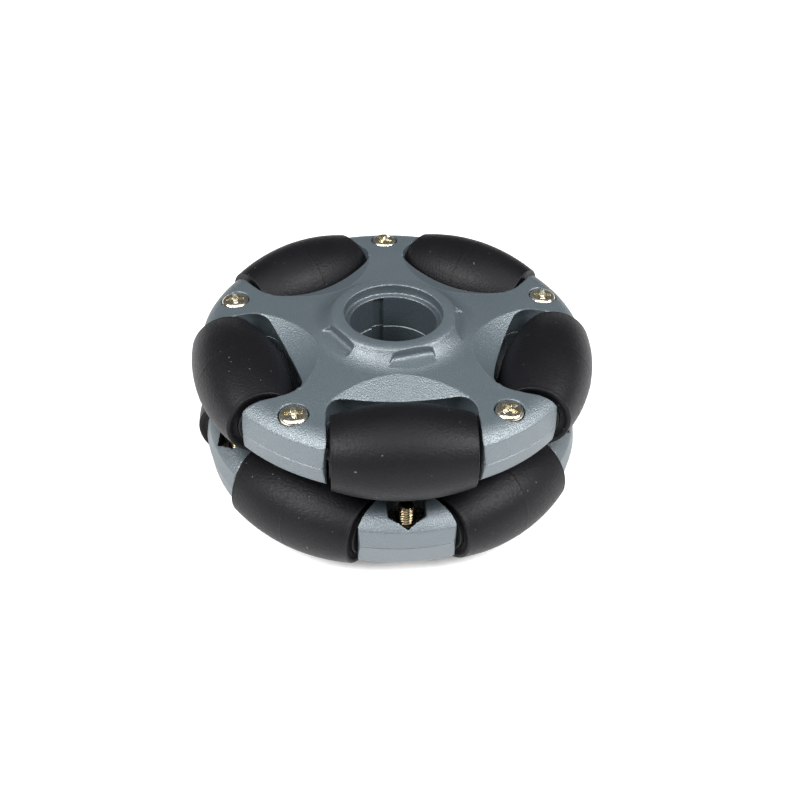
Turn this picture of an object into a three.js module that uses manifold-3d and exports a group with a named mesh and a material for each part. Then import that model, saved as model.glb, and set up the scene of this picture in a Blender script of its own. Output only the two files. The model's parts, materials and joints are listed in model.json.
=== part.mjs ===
// A double-row omni wheel: two moulded plates, each two half shells screwed together, with five
// free-turning barrel rollers in each plate. The rows are staggered, so that one roller is always
// on the ground. Millimetres; the wheel's axis is Z and its middle is the origin.
import * as THREE from "three";
import { mergeVertices } from "three/addons/utils/BufferGeometryUtils.js";
import Module from "manifold-3d";

const wasm = await Module();
wasm.setup();
const { degToRad } = THREE.MathUtils;

// Wheel
const wheelRadius = 29;
const rollersPerRow = 5;
const rowHeight = 6.41; // from the middle of the wheel to a row's roller axes
const hubGap = 0.15; // between the two plates' hub faces
const shellGap = 0.1; // between the two half shells of a plate
const plateSlip = degToRad(1.4); // play of one plate against the other
const pitch = (2 * Math.PI) / rollersPerRow;

// Rollers and their axles
const axleCircle = 22.53; // radius of the circle that the middles of the rollers lie on
const rollerHalfLength = 9.5;
const rollerRimRound = 0.5;
const tyreBore = 3.4;
const coreRadius = 3.3;
const coreHalfLength = 9.7;
const coreBore = 1.25;
const axleRadius = 1;
const axleHalfLength = 11.9;

// Half shells, with heights taken from the parting plane, where the roller axes lie
const hubHeight = 6.69;
const boreRadius = 6.2;
const mouthRadius = 7.05;
const mouthDepth = 1.55;
const lip = { radius: 8.3, bend: 8.85, roundTo: 9.05, drop: 0.34 };
const skirtBend = { radius: 10.2, height: 4.54 };
const armRoot = { radius: 12.3, height: 4.5 };
const screwFace = { radius: 24.3, height: 4.26 };
const shoulderBend = 26.1; // radius where the shoulder's curve would have its corner
const outerCrease = { radius: 27.35, height: 2.9 };
const innerCrease = { radius: 27.4, height: 2.55 };
const rimRadius = 27.75;
const pocketRadius = 7.4;
const pocketHalfWidth = 10;
const pocketCorner = 2.5;
const mouthRound = 0.7;
const scoop = { radius: 23, start: 11.8, height: 4.53, end: 16.3, fall: degToRad(24.5), lead: 0.8 };
const keyway = { width: 1.7, depth: 0.45, belowLedge: 0.3, angle: degToRad(18) };
const dogNotch = { wall: 8.8, floor: 4.95, fillet: 0.6, fall: degToRad(8), reach: 3.2 };
const dogHalfLength = 2.88;
const dogEnds = { lead: degToRad(50), stop: degToRad(8), lag: degToRad(21.7) };
const axleGroove = { radius: 1.1, halfLength: 12 };

// Fasteners
const screwCircle = 24.09;
const screwHole = 1.4;
const screwPocket = { radius: 2.08, floor: 2.85 };
const screwHead = { radius: 2, height: 1.5, edge: 0.65 };
const shankRadius = 1.15;
const screwTip = 4.86; // how far the screw's end stands past the parting plane
const recess = { width: 0.55, length: 2.1, depth: 0.8 };
const nutPocket = { acrossFlats: 5.2, floor: 0.5 };
const nut = { acrossFlats: 5, thickness: 1.7, bore: 1.25, lift: 0.05 };
const seat = 0.05; // clearance under a screw head

const shellPlastic = { color: 0x67737a, roughness: 0.5, metalness: 0 };
const tyreRubber = { color: 0x262628, roughness: 0.75, metalness: 0 };
const corePlastic = { color: 0x1b1b1d, roughness: 0.6, metalness: 0 };
const axleSteel = { color: 0x9a9c9f, roughness: 0.3, metalness: 1 };
const nickel = { color: 0xc9c2b0, roughness: 0.28, metalness: 1 };
const nutSteel = { color: 0x8f8c86, roughness: 0.35, metalness: 1 };

// Turns a closed outline of (radius, height) points about Z.
function revolve(outline, segments) {
  const closed = [...outline, outline[0]];
  return new THREE.LatheGeometry(closed, segments).rotateX(Math.PI / 2);
}

// Turns an outline that starts and ends on the axis about Z.
function revolveFromAxis(outline, segments) {
  return new THREE.LatheGeometry(outline, segments).rotateX(Math.PI / 2);
}

// Lays a geometry that was turned about Z along X, where a roller's axis is.
function alongX(geometry) {
  return geometry.rotateY(Math.PI / 2);
}

function extrude(outline, height) {
  return new THREE.ExtrudeGeometry(outline, { depth: height, bevelEnabled: false });
}

function polygon(points) {
  return new THREE.Shape(points.map(([x, y]) => new THREE.Vector2(x, y)));
}

function toSolid(geometry) {
  const bare = geometry.clone();
  bare.deleteAttribute("normal");
  bare.deleteAttribute("uv");
  const welded = mergeVertices(bare, 1e-4);
  const corners = welded.index.array;
  const triangles = [];
  for (let i = 0; i < corners.length; i += 3) {
    const [a, b, c] = corners.slice(i, i + 3);
    if (a !== b && b !== c && c !== a) {
      triangles.push(a, b, c);
    }
  }
  return new wasm.Manifold(
    new wasm.Mesh({
      numProp: 3,
      vertProperties: new Float32Array(welded.attributes.position.array),
      triVerts: new Uint32Array(triangles),
    }),
  );
}

function toGeometry(solid) {
  const mesh = solid.simplify(0.02).getMesh();
  const geometry = new THREE.BufferGeometry();
  geometry.setAttribute("position", new THREE.BufferAttribute(mesh.vertProperties, 3));
  geometry.setIndex(new THREE.BufferAttribute(mesh.triVerts, 1));
  geometry.computeVertexNormals();
  return geometry;
}

function turned(geometry, angle) {
  return geometry.clone().rotateZ(angle);
}

function cutAll(solid, cutters) {
  return cutters.reduce((left, cutter) => left.subtract(toSolid(cutter)), solid);
}

// The shell's section, from the bore out to the rim and back over the arms and the hub.
function shellOutline(hub, crease) {
  const path = new THREE.Path();
  path.moveTo(boreRadius, 0);
  path.lineTo(rimRadius, 0);
  path.lineTo(crease.radius, crease.height);
  path.quadraticCurveTo(shoulderBend, screwFace.height, screwFace.radius, screwFace.height);
  path.lineTo(armRoot.radius, armRoot.height);
  path.quadraticCurveTo(skirtBend.radius, skirtBend.height, lip.roundTo, hub - lip.drop);
  path.quadraticCurveTo(lip.bend, hub, lip.radius, hub);
  path.lineTo(mouthRadius, hub);
  path.lineTo(mouthRadius, hub - mouthDepth);
  path.lineTo(boreRadius, hub - mouthDepth);
  return path.getPoints(3);
}

// Plan of a pocket's open end, whose corners on the rim are rounded off.
function mouthOutline() {
  const corner = Math.sqrt(rimRadius ** 2 - pocketHalfWidth ** 2) - axleCircle;
  const rimAngle = Math.acos(pocketHalfWidth / rimRadius);
  const setback = mouthRound / Math.tan(rimAngle / 2);
  const right = new THREE.Path();
  right.moveTo(pocketHalfWidth, 0);
  right.absarc(pocketHalfWidth + mouthRound, corner - setback, mouthRound, Math.PI, rimAngle, true);
  right.lineTo(pocketHalfWidth + 2 * mouthRound, pocketRadius);
  const points = right.getPoints(1).map((point) => [point.x, point.y]);
  const mirrored = points.map(([x, y]) => [-x, y]).reverse();
  return polygon([...points, ...mirrored]);
}

// The room that a roller turns in: a barrel about its axis, open outwards.
function rollerPocket() {
  const section = new THREE.Path();
  const flat = pocketHalfWidth - pocketCorner;
  section.moveTo(0, -pocketHalfWidth);
  section.lineTo(pocketRadius - pocketCorner, -pocketHalfWidth);
  section.absarc(pocketRadius - pocketCorner, -flat, pocketCorner, -Math.PI / 2, 0);
  section.absarc(pocketRadius - pocketCorner, flat, pocketCorner, 0, Math.PI / 2);
  section.lineTo(0, pocketHalfWidth);
  const barrel = alongX(revolveFromAxis(section.getPoints(1), 24));
  const depth = 2 * hubHeight;
  const mouth = extrude(mouthOutline(), depth).translate(0, 0, -depth / 2);
  const room = toSolid(barrel).add(toSolid(mouth));
  return toGeometry(room).translate(0, axleCircle, 0);
}

// A shallow round trough that falls from the hub to the roller.
function scoopCutter() {
  const { radius, start, height, end, fall, lead } = scoop;
  const reach = (end - start) / Math.cos(fall);
  const trough = new THREE.CylinderGeometry(radius, radius, reach + lead, 64);
  trough.translate(0, (reach - lead) / 2, radius);
  trough.rotateX(-fall);
  return trough.translate(0, start, height);
}

function axleGrooveCutter() {
  const { radius, halfLength } = axleGroove;
  const groove = new THREE.CylinderGeometry(radius, radius, 2 * halfLength, 8);
  return groove.rotateZ(Math.PI / 2).translate(0, axleCircle, 0);
}

// A notch in the hub's skirt: a filleted wall, a falling floor and one end splayed as a lead-in.
function dogNotchCutter() {
  const { wall, floor, fillet, fall, reach } = dogNotch;
  const plan = polygon([
    [-dogHalfLength, wall],
    [dogHalfLength, wall],
    [dogHalfLength + reach * Math.tan(dogEnds.lead), wall + reach],
    [-dogHalfLength - reach * Math.tan(dogEnds.stop), wall + reach],
  ]);
  const top = 2 * hubHeight;
  const section = new THREE.Path();
  section.moveTo(wall, top);
  section.absarc(wall + fillet, floor + fillet, fillet, Math.PI, 1.5 * Math.PI - fall);
  const { x: out, y: height } = section.currentPoint;
  const run = 2 * reach;
  section.lineTo(out + run, height - run * Math.tan(fall));
  section.lineTo(out + run, top);
  const width = 2 * pocketHalfWidth;
  const across = extrude(polygon(section.getPoints(1).map((p) => [p.x, p.y])), width);
  across.translate(0, 0, -width / 2);
  across.rotateX(Math.PI / 2);
  across.rotateZ(Math.PI / 2);
  return toGeometry(toSolid(extrude(plan, top)).intersect(toSolid(across)));
}

// A shallow groove up the bore, which stops short of the mouth's ledge.
function keywayCutter(hub) {
  const { width, depth, belowLedge } = keyway;
  const top = hub - mouthDepth - belowLedge;
  const groove = new THREE.BoxGeometry(width, 2 * depth, 2 * top);
  return groove.translate(0, boreRadius, 0);
}

function roundHole(radius, floor) {
  const hole = new THREE.CylinderGeometry(radius, radius, hubHeight, 12);
  return hole.rotateX(Math.PI / 2).translate(0, screwCircle, floor + hubHeight / 2);
}

function hexagon(acrossFlats) {
  const corner = acrossFlats / Math.sqrt(3);
  const points = [];
  for (let i = 0; i < 6; i += 1) {
    const angle = Math.PI / 2 + (i * Math.PI) / 3;
    points.push([corner * Math.cos(angle), corner * Math.sin(angle)]);
  }
  return polygon(points);
}

function nutPocketCutter() {
  const pocket = extrude(hexagon(nutPocket.acrossFlats), hubHeight);
  return pocket.translate(0, screwCircle, nutPocket.floor);
}

// One half shell, lying on its parting plane. Arms and screws are at 90 degrees and every pitch
// from there; the rollers are half a pitch further on.
function halfShell(outline, fastenerPocket, oneOffCutters) {
  const cutters = [...oneOffCutters];
  for (let i = 0; i < rollersPerRow; i += 1) {
    const arm = i * pitch;
    const roller = arm + pitch / 2;
    cutters.push(turned(rollerPocket(), roller), turned(scoopCutter(), roller));
    cutters.push(turned(axleGrooveCutter(), roller));
    cutters.push(turned(fastenerPocket, arm), turned(roundHole(screwHole, -1), arm));
  }
  return cutAll(toSolid(revolve(outline, 40)), cutters);
}

function outerShell() {
  const oneOff = [turned(keywayCutter(hubHeight), keyway.angle)];
  for (let i = 0; i < rollersPerRow; i += 1) {
    oneOff.push(turned(dogNotchCutter(), i * pitch - dogEnds.lag));
  }
  const pocket = roundHole(screwPocket.radius, screwPocket.floor);
  const solid = halfShell(shellOutline(hubHeight, outerCrease), pocket, oneOff);
  return toGeometry(solid).translate(0, 0, shellGap / 2);
}

// The inner half is turned over about Y, so its keyway is cut at the opposite angle.
function innerShell() {
  const hub = rowHeight - (hubGap + shellGap) / 2;
  const key = turned(keywayCutter(hub), -keyway.angle);
  const solid = halfShell(shellOutline(hub, innerCrease), nutPocketCutter(), [key]);
  return toGeometry(solid).translate(0, 0, shellGap / 2).rotateY(Math.PI);
}

// The tyre's side follows the wheel's own circle, so that the wheel rolls as if round.
function tyreRadius(along) {
  return Math.sqrt(wheelRadius ** 2 - along ** 2) - axleCircle;
}

function tyreGeometry() {
  const outline = [];
  const sideSteps = 4;
  const shoulder = rollerHalfLength - rollerRimRound;
  const rimTop = tyreRadius(rollerHalfLength) - rollerRimRound;
  outline.push(new THREE.Vector2(tyreBore, -rollerHalfLength));
  outline.push(new THREE.Vector2(rimTop, -rollerHalfLength));
  for (let i = 0; i <= sideSteps; i += 1) {
    const along = shoulder * ((2 * i) / sideSteps - 1);
    outline.push(new THREE.Vector2(tyreRadius(along), along));
  }
  outline.push(new THREE.Vector2(rimTop, rollerHalfLength));
  outline.push(new THREE.Vector2(tyreBore, rollerHalfLength));
  return alongX(revolve(outline, 22));
}

function coreGeometry() {
  const outline = [
    new THREE.Vector2(coreBore, -coreHalfLength),
    new THREE.Vector2(coreRadius, -coreHalfLength),
    new THREE.Vector2(coreRadius, coreHalfLength),
    new THREE.Vector2(coreBore, coreHalfLength),
  ];
  return alongX(revolve(outline, 14));
}

function axleGeometry() {
  const axle = new THREE.CylinderGeometry(axleRadius, axleRadius, 2 * axleHalfLength, 12);
  return axle.rotateZ(Math.PI / 2);
}

// A domed cross-recess screw, with its head outwards.
function screwGeometry() {
  const seatHeight = screwPocket.floor + shellGap / 2 + seat;
  const outline = new THREE.Path();
  outline.moveTo(0, -screwTip);
  outline.lineTo(shankRadius - 0.25, -screwTip);
  outline.lineTo(shankRadius, 0.3 - screwTip);
  outline.lineTo(shankRadius, seatHeight);
  outline.lineTo(screwHead.radius, seatHeight);
  outline.lineTo(screwHead.radius, seatHeight + screwHead.edge);
  outline.quadraticCurveTo(
    screwHead.radius * 0.75,
    seatHeight + screwHead.height,
    0,
    seatHeight + screwHead.height,
  );
  const body = toSolid(revolveFromAxis(outline.getPoints(2), 12));
  const bar = new THREE.BoxGeometry(recess.length, recess.width, recess.depth);
  const crossBar = new THREE.BoxGeometry(recess.width, recess.length, recess.depth);
  const top = seatHeight + screwHead.height;
  return toGeometry(cutAll(body, [bar.translate(0, 0, top), crossBar.translate(0, 0, top)]));
}

function nutGeometry() {
  const outline = hexagon(nut.acrossFlats);
  outline.holes.push(new THREE.Path().absarc(0, 0, nut.bore, 0, 2 * Math.PI, true));
  const base = nutPocket.floor + shellGap / 2 + nut.lift;
  return new THREE.ExtrudeGeometry(outline, {
    depth: nut.thickness,
    bevelEnabled: false,
    curveSegments: 6,
  }).translate(0, 0, -base - nut.thickness);
}

function named(name, geometry, finish) {
  const mesh = new THREE.Mesh(geometry, new THREE.MeshStandardMaterial(finish));
  mesh.name = name;
  return mesh;
}

// What turns on one axle, and the axle itself, at a roller's station.
function rollerStation(row, number) {
  const station = new THREE.Group();
  const parts = [
    named(`${row}_roller_tyre_${number}`, tyreGeometry(), tyreRubber),
    named(`${row}_roller_core_${number}`, coreGeometry(), corePlastic),
    named(`${row}_axle_${number}`, axleGeometry(), axleSteel),
  ];
  for (const part of parts) {
    part.position.y = axleCircle;
    station.add(part);
  }
  return station;
}

function screwStation(row, number) {
  const station = new THREE.Group();
  const parts = [
    named(`${row}_screw_${number}`, screwGeometry(), nickel),
    named(`${row}_nut_${number}`, nutGeometry(), nutSteel),
  ];
  for (const part of parts) {
    part.position.y = screwCircle;
    station.add(part);
  }
  return station;
}

// One row: the two half shells and what they hold, about the plane of the roller axes.
function plate(row) {
  const group = new THREE.Group();
  group.add(named(`${row}_outer_shell`, outerShell(), shellPlastic));
  group.add(named(`${row}_inner_shell`, innerShell(), shellPlastic));
  for (let i = 0; i < rollersPerRow; i += 1) {
    const screws = screwStation(row, i + 1);
    screws.rotation.z = i * pitch;
    const roller = rollerStation(row, i + 1);
    roller.rotation.z = (i + 0.5) * pitch;
    group.add(screws, roller);
  }
  return group;
}

const upper = plate("upper");
upper.position.z = rowHeight;

// The lower plate is the same plate turned over, which staggers its rollers by half a pitch.
const lower = plate("lower");
lower.rotation.set(Math.PI, 0, 0);
lower.position.z = -rowHeight;
const lowerTurn = new THREE.Group();
lowerTurn.rotation.z = plateSlip;
lowerTurn.add(lower);

const wheel = new THREE.Group();
wheel.add(upper, lowerTurn);

export default wheel;
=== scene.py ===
"""Looks of the omni wheel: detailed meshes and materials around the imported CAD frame."""
import json
import math
import random

import bmesh
import bpy
import numpy as np
from mathutils import Matrix, Vector


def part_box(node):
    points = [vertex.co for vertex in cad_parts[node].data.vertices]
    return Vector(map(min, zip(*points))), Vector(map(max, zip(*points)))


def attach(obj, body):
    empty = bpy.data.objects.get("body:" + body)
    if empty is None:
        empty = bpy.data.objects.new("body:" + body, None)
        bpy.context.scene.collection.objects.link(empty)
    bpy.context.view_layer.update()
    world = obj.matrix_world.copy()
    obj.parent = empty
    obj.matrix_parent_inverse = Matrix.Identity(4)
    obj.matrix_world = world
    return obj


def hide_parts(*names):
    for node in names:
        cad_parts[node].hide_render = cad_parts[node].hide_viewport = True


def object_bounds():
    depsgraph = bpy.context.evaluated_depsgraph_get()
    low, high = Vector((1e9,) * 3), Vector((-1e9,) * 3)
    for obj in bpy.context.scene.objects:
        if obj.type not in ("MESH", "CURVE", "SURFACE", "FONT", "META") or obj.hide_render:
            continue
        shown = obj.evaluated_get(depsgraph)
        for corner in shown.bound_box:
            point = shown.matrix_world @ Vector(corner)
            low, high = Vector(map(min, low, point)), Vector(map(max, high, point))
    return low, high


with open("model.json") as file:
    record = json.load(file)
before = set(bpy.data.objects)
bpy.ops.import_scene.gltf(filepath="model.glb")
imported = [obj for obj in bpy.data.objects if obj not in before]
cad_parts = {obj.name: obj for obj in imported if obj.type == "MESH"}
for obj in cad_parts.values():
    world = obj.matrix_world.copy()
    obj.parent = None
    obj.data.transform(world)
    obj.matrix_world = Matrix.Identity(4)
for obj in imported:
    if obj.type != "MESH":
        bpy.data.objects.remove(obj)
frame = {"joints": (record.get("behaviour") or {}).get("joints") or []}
cad_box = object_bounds()

# Everything is modelled in millimetres and scaled to the frame's metres at the end.
MM = 0.001
ROWS = ("upper", "lower")
HUB_BODY = "wheel_hub"
PER_ROW = 5
PITCH = math.tau / PER_ROW

# Wheel, with heights taken from the parting plane of a row, where its roller axes lie
WHEEL_RADIUS = 29.0
AXLE_CIRCLE = 22.53
SCREW_CIRCLE = 24.09
ROW_HEIGHT = 6.41
SHELL_GAP = 0.1  # between the two half shells of a row in the CAD
HUB_GAP = 0.15  # between the two rows' hubs
HUB_HEIGHT = 6.69
BORE_RADIUS = 6.2
MOUTH_RADIUS = 7.05
MOUTH_DEPTH = 1.55

# Section of a half shell, as radii or as (radius, height) points
RIM_RADIUS = 27.75
STEP = 0.05  # how far the inner half stands proud of the outer one along the parting line
OUTER_CREASE = (27.35, 2.9)
INNER_CREASE = (27.4, 2.55)
SHOULDER_BEND = 26.1
SCREW_FACE = (24.3, 4.26)
ARM_ROOT = (12.3, 4.5)
SKIRT_BEND = (10.2, 4.54)
LIP_FOOT = 9.05
LIP_DROP = 0.34  # from the hub's face down to its lip's foot
LIP_BEND = 8.8
LIP_TOP = 7.8

# What is taken out of a half shell
POCKET_RADIUS = 7.4
POCKET_HALF = 10.0
POCKET_CORNER = 2.5
MOUTH_ROUND = 0.7  # of the corners where a roller's pocket meets the rim
SCOOP_RADIUS = 23.0
SCOOP_FALL = math.radians(24.5)
SCOOP_START = (11.8, 4.53)  # where its lowest line leaves the arms: radius, height
SCOOP_END = 16.3
SCOOP_LEAD = 0.8  # how far its cutter reaches in past its start
DOG_WALL = 8.8
DOG_FLOOR = 4.95
DOG_FILLET = 0.6
DOG_FALL = math.radians(8)
DOG_HALF = 2.88
DOG_REACH = 3.2
DOG_LEAD = math.radians(50)  # splay of its open end
DOG_STOP = math.radians(8)  # splay of its closed end
DOG_LAG = math.radians(21.7)  # from an arm back to its notch
KEYWAY_HALF = 0.85
KEYWAY_DEPTH = 0.45
KEYWAY_LEAD = 1.2  # how far its cutter reaches in past the bore's wall
KEYWAY_BELOW_LEDGE = 0.3
KEYWAY_ANGLE = math.radians(18)
GROOVE_RADIUS = 1.1  # of the seats that hold an axle
GROOVE_HALF = 12.0
SCREW_HOLE = 1.4

# How a half shell is finished
BORE_SHADE_RADIUS = 6.8  # radius that the bore's painted shade fades out from
PARTING_CUT = 1.0  # how far it is first made past its parting plane
PARTING_GAP = 0.004  # what shows between two half shells
OUTER_CHAMFER = 0.05  # of its edges along the parting line
INNER_CHAMFER = 0.11
VOXEL = 0.11
SMOOTHING = 5

# Rollers
ROLLER_HALF = 9.5
RIM_ROUND = 0.2
SEAM_HALF = 0.09
SEAM_HEIGHT = 0.025
DISH_DEPTH = 0.3
DISH_FLOOR = 3.65  # radius where a dished end starts to rise
TYRE_GAP = 0.1  # between a core and its tyre
CORE_RADIUS = 3.3
CORE_HALF = 9.7
CORE_BORE = 1.25
AXLE_RADIUS = 1.0
AXLE_HALF = 11.9

# Fasteners
SCREW_FLOOR = 2.85
SCREW_POCKET = 2.08
HEAD_RADIUS = 2.0
HEAD_HEIGHT = 1.5
HEAD_EDGE = 0.65
SHANK_RADIUS = 1.15
THREAD_PITCH = 0.45
THREAD_DEPTH = 0.22
PLAIN_SHANK = 0.6  # length without a thread, at the tip and under the head together
SCREW_TIP = 4.86
RECESS_DEPTH = 0.7
RECESS_REACH = 1.4
RECESS_HALF = 0.34
NUT_FLATS = 5.0
NUT_POCKET_FLATS = 5.2
NUT_FLOOR = 0.5
NUT_THICKNESS = 1.7
NUT_EDGE = 0.28
SEAT_GAP = 0.05  # clearance under a screw's head and over a nut
CLEAR = 0.3  # how far a cutter reaches out past the surface that it cuts


# ---------------------------------------------------------------- meshes
def curve(start, control, end, steps):
    """Points of a quadratic curve, without its first point."""
    points = []
    for i in range(1, steps + 1):
        t = i / steps
        points.append(tuple((1 - t) ** 2 * a + 2 * t * (1 - t) * b + t * t * c
                            for a, b, c in zip(start, control, end)))
    return points


def arc(centre, radius, start, end, steps):
    """Points of a circular arc, with both ends. Angles are in degrees."""
    points = []
    for i in range(steps + 1):
        angle = math.radians(start + (end - start) * i / steps)
        points.append((centre[0] + radius * math.cos(angle), centre[1] + radius * math.sin(angle)))
    return points


def new_mesh(name, work):
    bmesh.ops.recalc_face_normals(work, faces=work.faces)
    mesh = bpy.data.meshes.new(name)
    work.to_mesh(mesh)
    work.free()
    return mesh


def lathe(name, outline, segments, bend=None):
    """Turns (radius, height) points about Z. An outline off the axis closes on itself.

    bend(radius, height, angle) may change a point's radius, for a thread.
    """
    work = bmesh.new()
    rings = []
    for radius, height in outline:
        if radius < 1e-6:
            rings.append([work.verts.new((0, 0, height))])
            continue
        ring = []
        for i in range(segments):
            angle = math.tau * i / segments
            r = bend(radius, height, angle) if bend else radius
            ring.append(work.verts.new((r * math.cos(angle), r * math.sin(angle), height)))
        rings.append(ring)
    pairs = list(zip(rings, rings[1:]))
    if len(rings[0]) > 1:
        pairs.append((rings[-1], rings[0]))
    for low, high in pairs:
        for i in range(segments):
            j = (i + 1) % segments
            corners = [low[i % len(low)], low[j % len(low)], high[j % len(high)], high[i % len(high)]]
            face = list(dict.fromkeys(corners))
            if len(face) > 2:
                work.faces.new(face)
    return new_mesh(name, work)


def prism(name, outline, low, high):
    """A straight-sided solid over a flat outline."""
    work = bmesh.new()
    floor = [work.verts.new((x, y, low)) for x, y in outline]
    lid = [work.verts.new((x, y, high)) for x, y in outline]
    count = len(outline)
    work.faces.new(floor)
    work.faces.new(lid)
    for i in range(count):
        j = (i + 1) % count
        work.faces.new([floor[i], floor[j], lid[j], lid[i]])
    return new_mesh(name, work)


def cylinder(name, radius, low, high, segments):
    return lathe(name, [(0, low), (radius, low), (radius, high), (0, high)], segments)


def hexagon(flats):
    """A hexagon's corners from its size across flats, the first one on +Y."""
    corner = flats / math.sqrt(3)
    return [(corner * math.cos(math.pi / 2 + i * math.pi / 3),
             corner * math.sin(math.pi / 2 + i * math.pi / 3)) for i in range(6)]


def moved(mesh, matrix):
    copy = mesh.copy()
    copy.transform(matrix)
    return copy


def along_x():
    return Matrix.Rotation(math.pi / 2, 4, "Y")


def turn(angle):
    return Matrix.Rotation(angle, 4, "Z")


def shift(x, y, z):
    return Matrix.Translation((x, y, z))


def evaluated(mesh, add_modifiers):
    """The mesh with the modifiers that add_modifiers(object) puts on it applied."""
    holder = bpy.data.objects.new("holder", mesh)
    bpy.context.scene.collection.objects.link(holder)
    helpers = add_modifiers(holder) or []
    depsgraph = bpy.context.evaluated_depsgraph_get()
    result = bpy.data.meshes.new_from_object(holder.evaluated_get(depsgraph), depsgraph=depsgraph)
    for thing in [holder, *helpers]:
        bpy.data.objects.remove(thing)
    return result


def combined(mesh, others, operation):
    """Boolean of the mesh with each of the others in turn."""
    def add(holder):
        helpers = []
        for other in others:
            helper = bpy.data.objects.new("helper", other)
            bpy.context.scene.collection.objects.link(helper)
            step = holder.modifiers.new("step", "BOOLEAN")
            step.operation = operation
            step.solver = "MANIFOLD"
            step.object = helper
            helpers.append(helper)
        return helpers
    return evaluated(mesh, add)


def softened(mesh, voxel, smoothing):
    """An even mesh of the same solid, with every edge slightly rounded as moulding leaves it."""
    def add(holder):
        remesh = holder.modifiers.new("remesh", "REMESH")
        remesh.mode = "VOXEL"
        remesh.voxel_size = voxel
        smooth = holder.modifiers.new("smooth", "SMOOTH")
        smooth.factor = 0.5
        smooth.iterations = smoothing
    return evaluated(mesh, add)


def cut_flat(mesh, height, chamfer):
    """Cuts away what lies under a height, closes the cut and breaks its edges with a chamfer."""
    work = bmesh.new()
    work.from_mesh(mesh)
    for level, clear in ((height + chamfer, False), (height, True)):
        everything = work.verts[:] + work.edges[:] + work.faces[:]
        cut = bmesh.ops.bisect_plane(work, geom=everything, plane_co=(0, 0, level),
                                     plane_no=(0, 0, 1), clear_inner=clear)
    edges = [e for e in cut["geom_cut"] if isinstance(e, bmesh.types.BMEdge)]
    work.normal_update()
    on_level = 0.001
    for vert in work.verts:
        depth = height + chamfer - vert.co.z
        if depth > on_level:
            vert.co -= depth * Vector((vert.normal.x, vert.normal.y, 0)).normalized()
    bmesh.ops.triangle_fill(work, edges=edges, use_beauty=True, normal=(0, 0, -1))
    return new_mesh("shell", work)


def coordinates(mesh):
    """The vertices' x, y and z, as three arrays."""
    coords = np.empty(3 * len(mesh.vertices))
    mesh.vertices.foreach_get("co", coords)
    return coords.reshape(-1, 3).T


def marked(mesh, name, where):
    """Gives a material something to tell vertices apart by: 1 where asked and 0 elsewhere."""
    marks = mesh.attributes.new(name, "FLOAT", "POINT")
    marks.data.foreach_set("value", where.astype(float))
    return mesh


# ---------------------------------------------------------------- half shells
def shell_outline(hub, crease, rim, bore):
    """Section of a half shell from the bore out to the rim and back over the arms and the hub."""
    lip = (LIP_FOOT, hub - LIP_DROP)
    points = [(bore, -PARTING_CUT), (rim, -PARTING_CUT), (rim, 0), crease]
    points += curve(crease, (SHOULDER_BEND, SCREW_FACE[1]), SCREW_FACE, 10)
    points += [ARM_ROOT]
    points += curve(ARM_ROOT, SKIRT_BEND, lip, 16)
    points += curve(lip, (LIP_BEND, hub), (LIP_TOP, hub), 12)
    points += [(MOUTH_RADIUS, hub), (MOUTH_RADIUS, hub - MOUTH_DEPTH), (bore, hub - MOUTH_DEPTH)]
    return points


def mouth_outline():
    """Plan of a pocket's open end, whose corners on the rim are rounded off."""
    corner = math.sqrt(RIM_RADIUS ** 2 - POCKET_HALF ** 2) - AXLE_CIRCLE
    rim_angle = math.degrees(math.acos(POCKET_HALF / RIM_RADIUS))
    setback = MOUTH_ROUND / math.tan(math.radians(rim_angle / 2))
    centre = (POCKET_HALF + MOUTH_ROUND, corner - setback)
    right = [(POCKET_HALF, 0), *arc(centre, MOUTH_ROUND, 180, rim_angle, 8)]
    right += [(POCKET_HALF + 2 * MOUTH_ROUND, POCKET_RADIUS)]
    return right + [(-x, y) for x, y in reversed(right)]


def roller_pocket():
    """The room that a roller turns in: a barrel about its axis, open outwards."""
    flat = POCKET_HALF - POCKET_CORNER
    inner = POCKET_RADIUS - POCKET_CORNER
    section = [(0, -POCKET_HALF)]
    section += arc((inner, -flat), POCKET_CORNER, -90, 0, 10)
    section += arc((inner, flat), POCKET_CORNER, 0, 90, 10)
    section += [(0, POCKET_HALF)]
    barrel = moved(lathe("barrel", section, 160), along_x())
    mouth = prism("mouth", mouth_outline(), -HUB_HEIGHT, HUB_HEIGHT)
    return moved(combined(barrel, [mouth], "UNION"), shift(0, AXLE_CIRCLE, 0))


def scoop():
    """A shallow round trough that falls from the hub to the roller."""
    start, height = SCOOP_START
    reach = (SCOOP_END - start) / math.cos(SCOOP_FALL)
    trough = moved(cylinder("trough", SCOOP_RADIUS, -SCOOP_LEAD, reach, 360),
                   Matrix.Rotation(-math.pi / 2, 4, "X"))
    trough = moved(trough, shift(0, 0, SCOOP_RADIUS))
    return moved(trough, shift(0, start, height) @ Matrix.Rotation(-SCOOP_FALL, 4, "X"))


def mark_scoops(mesh):
    """Marks the vertices on the scoops' surfaces, which have a coarser moulded texture."""
    tolerance = 0.05
    before, beyond = 0.3, 2  # how far past its two ends a scoop is looked for
    x, y, z = coordinates(mesh)
    textured = np.zeros(len(x), dtype=bool)
    start, height = SCOOP_START
    for i in range(PER_ROW):
        angle = (i + 0.5) * PITCH
        aside = x * math.cos(angle) + y * math.sin(angle)
        out = -x * math.sin(angle) + y * math.cos(angle)
        above = (out - start) * math.sin(SCOOP_FALL) + (z - height) * math.cos(SCOOP_FALL)
        off = np.abs(np.hypot(aside, above - SCOOP_RADIUS) - SCOOP_RADIUS)
        on_scoop = (off < tolerance) & (np.abs(aside) < POCKET_HALF)
        textured |= on_scoop & (out > start - before) & (out < SCOOP_END + beyond)
    return marked(mesh, "textured", textured)


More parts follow.
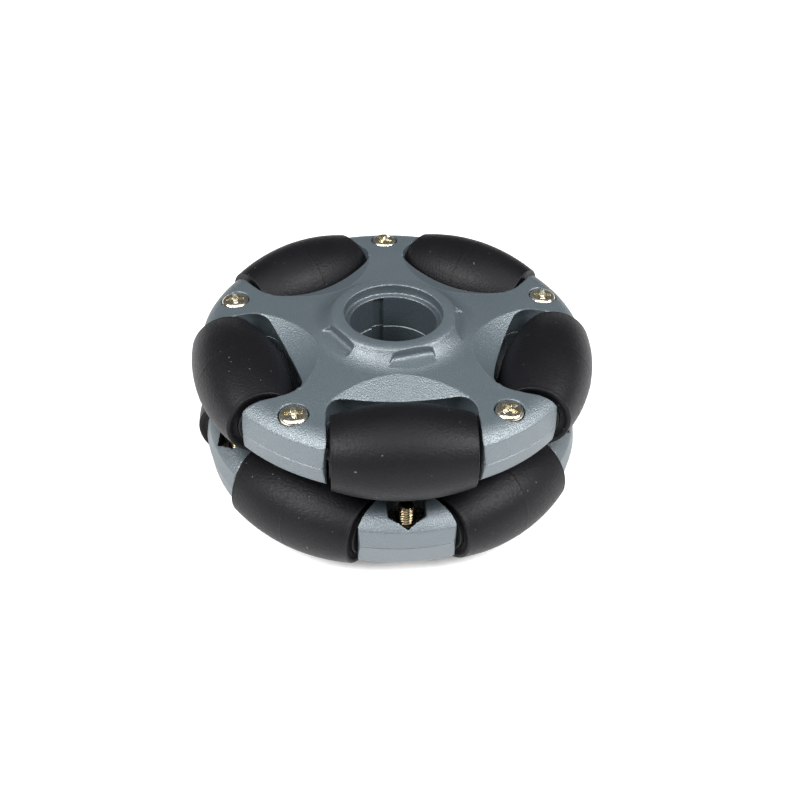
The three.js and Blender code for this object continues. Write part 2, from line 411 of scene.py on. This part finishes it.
def dog_notch():
    """A notch in the hub's skirt: a filleted wall, a falling floor and one end splayed as a lead-in."""
    spare = 1  # how far the two cutters that it is made of outreach each other
    top, end = HUB_HEIGHT + spare, DOG_WALL + DOG_REACH
    plan = [(-DOG_HALF, DOG_WALL), (DOG_HALF, DOG_WALL),
            (DOG_HALF + DOG_REACH * math.tan(DOG_LEAD), end),
            (-DOG_HALF - DOG_REACH * math.tan(DOG_STOP), end)]
    section = [(DOG_WALL, top)]
    section += arc((DOG_WALL + DOG_FILLET, DOG_FLOOR + DOG_FILLET), DOG_FILLET,
                   180, 270 - math.degrees(DOG_FALL), 8)
    out, height = section[-1]
    run = end + spare - out
    section += [(out + run, height - run * math.tan(DOG_FALL)), (out + run, top)]
    # from (out, up, across) to (across, out, up)
    upright = Matrix(((0, 0, 1, 0), (1, 0, 0, 0), (0, 1, 0, 0), (0, 0, 0, 1)))
    across = moved(prism("section", section, -POCKET_HALF, POCKET_HALF), upright)
    return combined(prism("plan", plan, 0, top + spare), [across], "INTERSECT")


def keyway(hub):
    """A shallow groove up the bore, which stops short of the mouth's ledge."""
    inside, floor = BORE_RADIUS - KEYWAY_LEAD, BORE_RADIUS + KEYWAY_DEPTH
    outline = [(-KEYWAY_HALF, inside), (KEYWAY_HALF, inside),
               (KEYWAY_HALF, floor), (-KEYWAY_HALF, floor)]
    return prism("key", outline, -HUB_HEIGHT, hub - MOUTH_DEPTH - KEYWAY_BELOW_LEDGE)


def shell(hub, outline, fastener_pocket, key_side, notched, chamfer):
    """A half shell over its parting plane. key_side is the keyway's side of its arm: 1 or -1."""
    pocket, trough, notch = roller_pocket(), scoop(), dog_notch()
    groove = moved(cylinder("groove", GROOVE_RADIUS, -GROOVE_HALF, GROOVE_HALF, 32),
                   shift(0, AXLE_CIRCLE, 0) @ along_x())
    hole = cylinder("hole", SCREW_HOLE, -2 * PARTING_CUT, HUB_HEIGHT, 32)
    cutters = []
    for i in range(PER_ROW):
        arm = turn(i * PITCH)
        roller = turn((i + 0.5) * PITCH)
        cutters += [moved(pocket, roller), moved(trough, roller), moved(groove, roller)]
        cutters += [moved(fastener_pocket, arm), moved(hole, arm @ shift(0, SCREW_CIRCLE, 0))]
        if notched:
            cutters.append(moved(notch, turn(i * PITCH - DOG_LAG)))
    cutters.append(moved(keyway(hub), turn(key_side * KEYWAY_ANGLE)))
    solid = combined(lathe("shell", outline, 360), cutters, "DIFFERENCE")
    half = cut_flat(softened(solid, VOXEL, SMOOTHING), (PARTING_GAP - SHELL_GAP) / 2, chamfer)
    return mark_scoops(half)


def outer_shell():
    """The half shell that faces away from the other row, with round pockets for the screws."""
    pocket = moved(cylinder("pocket", SCREW_POCKET, SCREW_FLOOR, HUB_HEIGHT, 96),
                   shift(0, SCREW_CIRCLE, 0))
    outline = shell_outline(HUB_HEIGHT, OUTER_CREASE, RIM_RADIUS, BORE_RADIUS)
    mesh = shell(HUB_HEIGHT, outline, pocket, 1, True, OUTER_CHAMFER)
    return moved(mesh, shift(0, 0, SHELL_GAP / 2))


def inner_shell():
    """The half shell next to the other row, with hexagon pockets for the nuts, upside down."""
    pocket = moved(prism("pocket", hexagon(NUT_POCKET_FLATS), NUT_FLOOR, HUB_HEIGHT),
                   shift(0, SCREW_CIRCLE, 0))
    hub = ROW_HEIGHT - (HUB_GAP + SHELL_GAP) / 2
    outline = shell_outline(hub, INNER_CREASE, RIM_RADIUS + STEP, BORE_RADIUS - STEP)
    mesh = shell(hub, outline, pocket, -1, False, INNER_CHAMFER)
    return moved(mesh, Matrix.Rotation(math.pi, 4, "Y") @ shift(0, 0, SHELL_GAP / 2))


# ---------------------------------------------------------------- rollers
def tyre_radius(along):
    """The barrel's radius at a distance along its axis: together the tyres make the wheel's circle."""
    return math.sqrt(WHEEL_RADIUS ** 2 - along ** 2) - AXLE_CIRCLE


def tyre():
    """A barrel tyre with rounded rims, dished ends and a fine mould line round its middle."""
    shoulder, steps, crown = ROLLER_HALF - RIM_ROUND, 48, tyre_radius(0)
    side = []
    for i in range(steps + 1):
        along = shoulder * (2 * i / steps - 1)
        if i == steps // 2:
            side += [(crown, -SEAM_HALF), (crown + SEAM_HEIGHT, 0), (crown, SEAM_HALF)]
        else:
            side.append((tyre_radius(along), along))
    rim = tyre_radius(shoulder) - RIM_ROUND
    rim_width, step_width, step_depth = 0.35, 0.15, 0.12
    floor = ROLLER_HALF - DISH_DEPTH
    blend = 8  # degrees at which the rim's arc takes over from the barrel
    upper = arc((rim, shoulder), RIM_ROUND, blend, 90, 6)
    upper += [(rim - rim_width, ROLLER_HALF),
              (rim - rim_width - step_width, ROLLER_HALF - step_depth)]
    upper += [(DISH_FLOOR, floor), (CORE_RADIUS + TYRE_GAP, floor)]
    lower = [(radius, -height) for radius, height in reversed(upper)]
    return moved(lathe("tyre", lower + side + upper, 128), along_x())


def core():
    """The sleeve inside a tyre, with a chamfered bush face at each end."""
    edge = 0.1
    section = [(CORE_BORE, edge - CORE_HALF), (CORE_BORE + edge, -CORE_HALF),
               (CORE_RADIUS - edge, -CORE_HALF), (CORE_RADIUS, edge - CORE_HALF)]
    section += [(radius, -height) for radius, height in reversed(section)]
    return moved(lathe("core", section, 72), along_x())


def axle():
    """A ground pin with chamfered ends."""
    edge = 0.15
    section = [(0, -AXLE_HALF), (AXLE_RADIUS - edge, -AXLE_HALF), (AXLE_RADIUS, edge - AXLE_HALF),
               (AXLE_RADIUS, AXLE_HALF - edge), (AXLE_RADIUS - edge, AXLE_HALF), (0, AXLE_HALF)]
    return moved(lathe("axle", section, 48), along_x())


# ---------------------------------------------------------------- fasteners
def slot(top):
    """A slot through a screw's axis, shorter and narrower towards its floor."""
    work = bmesh.new()
    rings = []
    for level, share in ((top - RECESS_DEPTH, 0.6), (top + CLEAR, 1.05)):
        length, width = RECESS_REACH * share, RECESS_HALF * (0.5 + 0.5 * share)
        rings.append([work.verts.new((x * length, y * width, level))
                      for x, y in ((-1, -1), (1, -1), (1, 1), (-1, 1))])
    floor, lid = rings
    work.faces.new(floor)
    work.faces.new(lid)
    for i in range(4):
        j = (i + 1) % 4
        work.faces.new([floor[i], floor[j], lid[j], lid[i]])
    return new_mesh("slot", work)


def cross_recess(top):
    """A cross recess: two crossing slots round a cone that ends in a drilled point."""
    point_radius, cone_radius, point_depth, cone_depth = 0.2, 0.66, 0.35, 0.2
    floor, lid = top - RECESS_DEPTH, top + CLEAR
    cone = [(0, floor - point_depth), (point_radius, floor - cone_depth), (cone_radius, lid), (0, lid)]
    return [slot(top), moved(slot(top), turn(math.pi / 2)), lathe("cone", cone, 32)]


def screw():
    """A domed cross-recess screw with its head outwards and a cut thread to its tip."""
    seat = SCREW_FLOOR + SHELL_GAP / 2 + SEAT_GAP
    top = seat + HEAD_HEIGHT
    root = SHANK_RADIUS - THREAD_DEPTH
    threaded = seat + SCREW_TIP - PLAIN_SHANK
    rows_per_turn, run_out, edge, flank = 8, 0.3, 0.1, 1.25
    rows = round(threaded / THREAD_PITCH * rows_per_turn)
    section = [(0, -SCREW_TIP), (root - 0.15, -SCREW_TIP)]
    for i in range(rows + 1):
        section.append((root, run_out / 2 - SCREW_TIP + threaded * i / rows))
    section += [(SHANK_RADIUS, seat - run_out), (SHANK_RADIUS, seat), (HEAD_RADIUS - edge, seat),
                (HEAD_RADIUS, seat + edge), (HEAD_RADIUS, seat + HEAD_EDGE)]
    crown = (0.62 * HEAD_RADIUS, top - 0.06)
    section += curve((HEAD_RADIUS, seat + HEAD_EDGE), (0.97 * HEAD_RADIUS, crown[1]), crown, 8)
    section += [(0.3 * HEAD_RADIUS, top), (0, top)]

    def thread(radius, height, angle):
        """A ridge that winds round the root and fades in from the screw's tip."""
        if radius != root:
            return radius
        turns = (height / THREAD_PITCH - angle / math.tau) % 1.0
        crest = max(0.0, 1 - abs(2 * turns - 1) * flank)
        lead = min(1.0, (height + SCREW_TIP) / run_out)
        return root + THREAD_DEPTH * crest * lead

    body = lathe("screw", section, 72, thread)
    mesh = combined(body, cross_recess(top), "DIFFERENCE")
    return marked(mesh, "thread", coordinates(mesh)[2] < seat - edge)


def nut():
    """A hexagon nut with turned-off corners and a threaded bore."""
    base = NUT_FLOOR + SHELL_GAP / 2 + SEAT_GAP
    top, edge = NUT_THICKNESS, NUT_EDGE
    corner = NUT_FLATS / math.sqrt(3)
    flat, outside = corner - edge * 1.6, corner + 0.05
    turned = lathe("turned", [(0, 0), (flat, 0), (outside, edge), (outside, top - edge), (flat, top),
                              (0, top)], 96)
    block = combined(prism("hex", hexagon(NUT_FLATS), 0, top), [turned], "INTERSECT")
    minor, major, lead, half_tooth = SHANK_RADIUS + 0.06, SHANK_RADIUS + 0.14, 0.1, 0.08
    bore = [(0, -CLEAR), (major + CLEAR, -CLEAR), (major + lead, lead)]
    teeth = int(top / THREAD_PITCH) + 1
    for i in range(teeth):
        level = lead + (top - 2 * lead) * (i + 0.5) / teeth
        bore += [(minor, level - half_tooth), (major, level + half_tooth)]
    bore += [(major + lead, top - lead), (major + CLEAR, top + CLEAR), (0, top + CLEAR)]
    block = combined(block, [lathe("bore", bore, 48)], "DIFFERENCE")
    return moved(block, shift(0, 0, -base - top))


# ---------------------------------------------------------------- materials
class Look:
    """Builds one node material step by step."""

    def __init__(self, name):
        self.material = bpy.data.materials.new(name)
        self.material.use_nodes = True
        self.tree = self.material.node_tree
        self.shader = self.tree.nodes["Principled BSDF"]
        self.place = self.node("ShaderNodeTexCoord").outputs["Object"]

    def node(self, kind, **settings):
        made = self.tree.nodes.new(kind)
        for key, value in settings.items():
            setattr(made, key, value)
        return made

    def join(self, source, target):
        self.tree.links.new(source, target)

    def noise(self, scale, detail):
        """Clouds with so many cells to the metre."""
        made = self.node("ShaderNodeTexNoise")
        made.inputs["Scale"].default_value = scale
        made.inputs["Detail"].default_value = detail
        self.join(self.place, made.inputs["Vector"])
        return made.outputs["Fac"]

    def ramp(self, factor, stops):
        """Blends (position, colour) stops."""
        made = self.node("ShaderNodeValToRGB")
        band = made.color_ramp
        while len(band.elements) < len(stops):
            band.elements.new(0.5)
        for element, (position, colour) in zip(band.elements, stops):
            element.position = position
            element.color = (*colour, 1)
        self.join(factor, made.inputs["Fac"])
        return made.outputs["Color"]

    def grey(self, factor, low, high, start=0.0, end=1.0):
        """Maps start..end to low..high, and holds it there beyond."""
        made = self.node("ShaderNodeMapRange")
        made.inputs["From Min"].default_value = start
        made.inputs["From Max"].default_value = end
        made.inputs["To Min"].default_value = low
        made.inputs["To Max"].default_value = high
        self.join(factor, made.inputs["Value"])
        return made.outputs["Result"]

    def product(self, first, second):
        made = self.node("ShaderNodeMath", operation="MULTIPLY")
        self.join(first, made.inputs[0])
        self.join(second, made.inputs[1])
        return made.outputs["Value"]

    def attribute(self, name):
        made = self.node("ShaderNodeAttribute", attribute_name=name)
        return made.outputs["Fac"]

    def near_axis(self, inside, outside):
        """1 within a distance of the wheel's axis and 0 beyond, in metres."""
        flat = self.node("ShaderNodeVectorMath", operation="MULTIPLY")
        flat.inputs[1].default_value = (1, 1, 0)
        self.join(self.place, flat.inputs[0])
        length = self.node("ShaderNodeVectorMath", operation="LENGTH")
        self.join(flat.outputs["Vector"], length.inputs[0])
        return self.grey(length.outputs["Value"], 1, 0, inside, outside)

    def mix(self, factor, first, second):
        made = self.node("ShaderNodeMix", data_type="RGBA")
        self.join(factor, made.inputs["Factor"])
        for value, socket in ((first, made.inputs["A"]), (second, made.inputs["B"])):
            if isinstance(value, tuple):
                socket.default_value = (*value, 1)
            else:
                self.join(value, socket)
        return made.outputs["Result"]

    def bump(self, heights):
        """Chains (height socket, strength, distance in metres) bumps into the shader's normal."""
        normal = None
        for height, strength, distance in heights:
            made = self.node("ShaderNodeBump")
            made.inputs["Strength"].default_value = strength
            made.inputs["Distance"].default_value = distance
            self.join(height, made.inputs["Height"])
            if normal is not None:
                self.join(normal, made.inputs["Normal"])
            normal = made.outputs["Normal"]
        self.join(normal, self.shader.inputs["Normal"])


def shell_plastic():
    """Grey moulded plastic: satin outside, painted darker in the bore as shade, spark-textured in the
    scoops.
    """
    look = Look("shell_plastic")
    cloud = look.noise(90, 4)
    fine = look.noise(5600, 1)
    coarse = look.noise(4800, 1)
    body = look.ramp(cloud, [(0.3, (0.042, 0.056, 0.065)), (0.7, (0.048, 0.063, 0.073))])
    textured = look.attribute("textured")
    body = look.mix(textured, body, (0.049, 0.065, 0.075))
    # painted shade: the base colour turns darker inside the bore
    bore = look.near_axis(BORE_SHADE_RADIUS * MM, (MOUTH_RADIUS + 0.05) * MM)
    body = look.mix(bore, body, (0.024, 0.034, 0.041))
    look.join(body, look.shader.inputs["Base Color"])
    look.shader.inputs["IOR"].default_value = 1.7
    look.shader.inputs["Specular Tint"].default_value = (0.88, 0.96, 1.0, 1.0)
    look.shader.inputs["Specular IOR Level"].default_value = 1.0
    look.join(look.grey(fine, 0.40, 0.50, 0.3, 0.7), look.shader.inputs["Roughness"])
    look.bump([(fine, 1.0, 0.00008), (look.product(coarse, textured), 1.0, 0.00005)])
    return look.material


def roller_rubber():
    """Matte black rubber with a few pale specks of dust."""
    look = Look("roller_rubber")
    dust = look.grey(look.noise(2300, 0), 0, 1, 0.85, 0.87)
    cloud = look.noise(120, 4)
    body = look.ramp(cloud, [(0.3, (0.0030, 0.0030, 0.0040)), (0.7, (0.0055, 0.0055, 0.0070))])
    look.join(look.mix(dust, body, (0.09, 0.085, 0.08)), look.shader.inputs["Base Color"])
    fine = look.noise(3000, 3)
    look.join(look.grey(fine, 0.42, 0.52, 0.3, 0.7), look.shader.inputs["Roughness"])
    look.shader.inputs["Specular IOR Level"].default_value = 0.18
    look.bump([(fine, 0.6, 0.0001)])
    return look.material


def core_plastic():
    """Black moulded plastic."""
    look = Look("core_plastic")
    fine = look.noise(1500, 3)
    look.join(look.ramp(fine, [(0.3, (0.010, 0.010, 0.011)), (0.7, (0.016, 0.016, 0.017))]),
              look.shader.inputs["Base Color"])
    look.shader.inputs["Specular IOR Level"].default_value = 0.15
    look.join(look.grey(fine, 0.4, 0.6), look.shader.inputs["Roughness"])
    look.bump([(fine, 0.15, 0.00005)])
    return look.material


def metal(name, dark, light, smooth, rough):
    """Metal, bright for the screws and darkened as painted shade for the axles and nuts, with the
    threads painted darker as shade where the mesh marks them.
    """
    # painted shade: the threads take this darker colour in place of the metal's own
    painted_thread_shade = (0.1, 0.08, 0.05)
    look = Look(name)
    look.shader.inputs["Metallic"].default_value = 1.0
    cloud = look.noise(700, 4)
    fine = look.noise(2600, 1)
    body = look.ramp(cloud, [(0.35, dark), (0.65, light)])
    body = look.mix(look.attribute("thread"), body, painted_thread_shade)
    look.join(body, look.shader.inputs["Base Color"])
    look.join(look.grey(fine, smooth, rough, 0.3, 0.7), look.shader.inputs["Roughness"])
    look.bump([(look.noise(1100, 1), 0.5, 0.00015)])
    return look.material


def floor_card():
    """White card that glows a little, but for the shade right under the wheel."""
    glow, shade, lit = 0.42, 0.021, 0.026  # strength, and two distances from the axis in metres
    look = Look("floor_card")
    look.join(look.ramp(look.noise(6, 2), [(0.3, (0.71, 0.71, 0.71)), (0.7, (0.72, 0.72, 0.72))]),
              look.shader.inputs["Base Color"])
    look.shader.inputs["Roughness"].default_value = 0.7
    look.shader.inputs["Specular IOR Level"].default_value = 0.1
    look.shader.inputs["Emission Color"].default_value = (1, 1, 1, 1)
    look.join(look.grey(look.near_axis(shade, lit), glow, 0.0),
              look.shader.inputs["Emission Strength"])
    return look.material


# ---------------------------------------------------------------- placing
def row_matrix(row):
    """Where a row's parting plane and first arm are, from the frame's own joints and screws."""
    height = next(j["pos_m"][2] for j in frame["joints"] if j["name"].startswith(row)) / MM
    if row == "upper":
        return shift(0, 0, height)
    low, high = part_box("lower_screw_1")
    middle = (Vector(low) + Vector(high)) / 2
    slip = math.atan2(middle.y, middle.x) + math.pi / 2
    return turn(slip) @ shift(0, 0, height) @ Matrix.Rotation(math.pi, 4, "X")


def place(name, node, body, mesh, matrix, slot_name, sharp_angle):
    """Adds a piece that stands for a CAD node and rides on a body, in its slot's material."""
    mesh = moved(mesh, Matrix.Scale(MM, 4) @ matrix)
    mesh.name = name
    mesh.materials.clear()
    mesh.materials.append(materials[slot_name])
    piece = bpy.data.objects.new(name, mesh)
    bpy.context.scene.collection.objects.link(piece)
    mesh.shade_smooth()
    mesh.set_sharp_from_angle(angle=math.radians(sharp_angle))
    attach(piece, body)
    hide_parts(node)


def place_shells(row, base):
    for side, mesh in shells.items():
        place(f"{row}_{side}_half", f"{row}_{side}_shell", HUB_BODY, mesh, base,
              "shell_plastic", 40)


def place_roller(row, number, base):
    """A roller and its axle. How far the roller is turned is left to chance."""
    body = f"{row}_roller_{number}"
    middle = base @ turn((number - 0.5) * PITCH) @ shift(0, AXLE_CIRCLE, 0)
    spin = Matrix.Rotation(chance.uniform(0, math.tau), 4, "X")
    place(f"{row}_tyre_{number}", f"{row}_roller_tyre_{number}", body, meshes["tyre"],
          middle @ spin, "roller_rubber", 40)
    place(f"{row}_core_{number}", f"{row}_roller_core_{number}", body, meshes["core"],
          middle, "core_plastic", 30)
    place(f"{row}_pin_{number}", f"{row}_axle_{number}", HUB_BODY, meshes["axle"],
          middle, "axle_steel", 30)


def place_fasteners(row, number, base):
    """An arm's screw and nut. How far the screw is turned is left to chance."""
    middle = base @ turn((number - 1) * PITCH) @ shift(0, SCREW_CIRCLE, 0)
    place(f"{row}_cross_screw_{number}", f"{row}_screw_{number}", HUB_BODY, meshes["screw"],
          middle @ turn(chance.uniform(0, math.tau)), "screw_nickel", 35)
    place(f"{row}_hex_nut_{number}", f"{row}_nut_{number}", HUB_BODY, meshes["nut"],
          middle, "nut_steel", 30)


materials = {
    "shell_plastic": shell_plastic(),
    "roller_rubber": roller_rubber(),
    "core_plastic": core_plastic(),
    # painted shade: the axles' steel is darkened to the shade of the gaps at the rollers' ends
    "axle_steel": metal("axle_steel", (0.045, 0.043, 0.042), (0.075, 0.072, 0.07), 0.35, 0.5),
    "screw_nickel": metal("screw_nickel", (0.66, 0.61, 0.48), (0.90, 0.86, 0.74), 0.16, 0.32),
    # painted shade: the nuts' steel is darkened to the shade of their pockets
    "nut_steel": metal("nut_steel", (0.20, 0.17, 0.13), (0.32, 0.28, 0.22), 0.2, 0.34),
}
shells = {"outer": outer_shell(), "inner": inner_shell()}
meshes = {"tyre": tyre(), "core": core(), "axle": axle(), "screw": screw(), "nut": nut()}
chance = random.Random(7)

for row in ROWS:
    base = row_matrix(row)
    place_shells(row, base)
    for number in range(1, PER_ROW + 1):
        place_roller(row, number, base)
        place_fasteners(row, number, base)


# ---------------------------------------------------------------- stage, camera, light
def add_camera():
    """The camera stands at the reference view: slightly turned and rolled, 39 degrees up."""
    azimuth, elevation, roll = math.radians(-4.892), math.radians(38.637), math.radians(1.897)
    distance, aside, above, focal_length = 0.17172, 0.001248, -0.002313, 51.62
    forward = turn(azimuth).to_3x3() @ Vector((0, math.cos(elevation), -math.sin(elevation)))
    level = turn(azimuth).to_3x3() @ Vector((1, 0, 0))
    upward = level.cross(forward)
    right = math.cos(roll) * level + math.sin(roll) * upward
    top = math.cos(roll) * upward - math.sin(roll) * level
    lens = bpy.data.cameras.new("camera")
    lens.sensor_width = 36
    lens.lens = focal_length
    lens.clip_start = 0.01
    camera = bpy.data.objects.new("camera", lens)
    columns = Matrix((right, top, -forward)).transposed().to_4x4()
    camera.matrix_world = Matrix.Translation(-distance * forward + aside * right + above * top) @ columns
    bpy.context.scene.collection.objects.link(camera)
    bpy.context.scene.camera = camera


def add_softbox(name, position, size, power):
    """A rectangular soft light, aimed at the wheel's middle."""
    lamp = bpy.data.lights.new(name, "AREA")
    lamp.shape = "RECTANGLE"
    lamp.size, lamp.size_y = size
    lamp.energy = power
    holder = bpy.data.objects.new(name, lamp)
    holder.location = position
    holder.rotation_euler = (-Vector(position)).to_track_quat("-Z", "Y").to_euler()
    bpy.context.scene.collection.objects.link(holder)


def add_floor():
    """A wide floor at the height of the wheel's lower face."""
    half, height = 3.0, cad_box[0][2]
    corners = ((-half, -half), (half, -half), (half, half), (-half, half))
    work = bmesh.new()
    work.faces.new([work.verts.new((x, y, height)) for x, y in corners])
    mesh = bpy.data.meshes.new("floor")
    work.to_mesh(mesh)
    work.free()
    mesh.materials.append(floor_card())
    floor = bpy.data.objects.new("floor", mesh)
    bpy.context.scene.collection.objects.link(floor)


def add_world():
    """A dim even room."""
    world = bpy.data.worlds.new("studio")
    world.use_nodes = True
    room = world.node_tree.nodes["Background"]
    room.inputs["Color"].default_value = (1, 1, 1, 1)
    room.inputs["Strength"].default_value = 0.12
    bpy.context.scene.world = world


add_camera()
add_floor()
add_world()
add_softbox("key", (-0.01, -0.327, 0.503), (0.45, 0.26), 1.5)
add_softbox("overhead", (0.0, -0.02, 0.6), (0.4, 0.3), 0.9)
add_softbox("left", (-0.40, -0.2, 0.4), (0.26, 0.26), 4.4)
add_softbox("right", (0.40, -0.2, 0.4), (0.26, 0.26), 4.4)
bpy.context.scene.view_settings.view_transform = "Standard"
